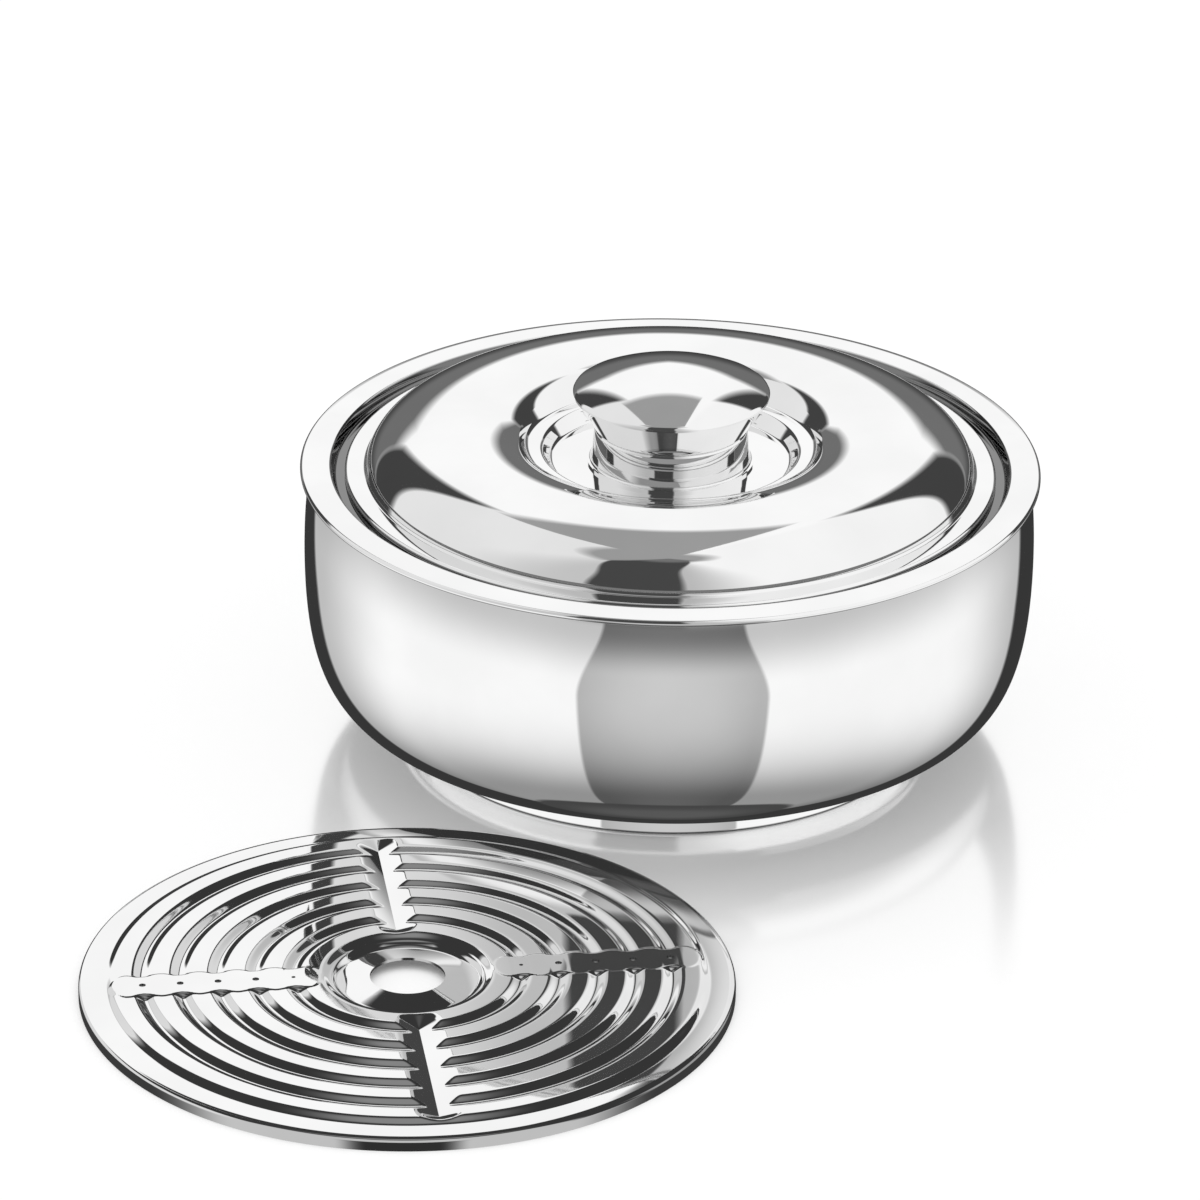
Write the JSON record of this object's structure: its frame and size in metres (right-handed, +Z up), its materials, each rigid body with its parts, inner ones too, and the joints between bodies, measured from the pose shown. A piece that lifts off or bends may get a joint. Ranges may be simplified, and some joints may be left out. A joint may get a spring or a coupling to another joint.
{
  "type": "insulated food casserole",
  "caption": "Round double-walled steel casserole for flat breads, with a domed lift-off lid, a stemmed knob and a loose ringed plate.",
  "frame": {"origin": "centre of the foot ring's lower face, on the surface that the casserole stands on", "axes": "+Z up along the axis of the pot and the lid; the picture was taken from the -Y side, and the loose plate lies on that side, a little towards -X"},
  "size_m": [0.3123, 0.4266, 0.1303],
  "materials": {
    "bright_steel": "mirror-polished stainless steel",
    "plain_steel": "plain stainless steel, as rolled",
    "foam": "cast rigid foam, never seen from outside",
    "dark_plastic": "moulded, slightly rough"
  },
  "bodies": {
    "pot": {"outer_shell": "bright_steel", "inner_bowl": "bright_steel", "body_foam": "foam", "foot_ring": "bright_steel", "base_plate": "plain_steel", "base_plug": "dark_plastic"},
    "lid": {"lid_top": "bright_steel", "lid_liner": "bright_steel", "lid_foam": "foam", "lid_plug": "dark_plastic", "knob_pedestal": "bright_steel", "knob_cup": "bright_steel", "knob_cap": "bright_steel", "knob_stud": "plain_steel", "flat_washer": "plain_steel", "lock_washer": "plain_steel", "knob_nut": "plain_steel"},
    "plate": {"roti_plate": "bright_steel"}
  },
  "joints": [
    {"name": "lid_lift", "type": "slide", "parent": "pot", "child": "lid", "axis": [0, 0, 1], "range_m": [0, 0.12]},
    {"name": "plate_lift", "type": "slide", "parent": "pot", "child": "plate", "axis": [-0.2325, -0.5531, 0.8], "range_m": [0, 0.12]}
  ]
}
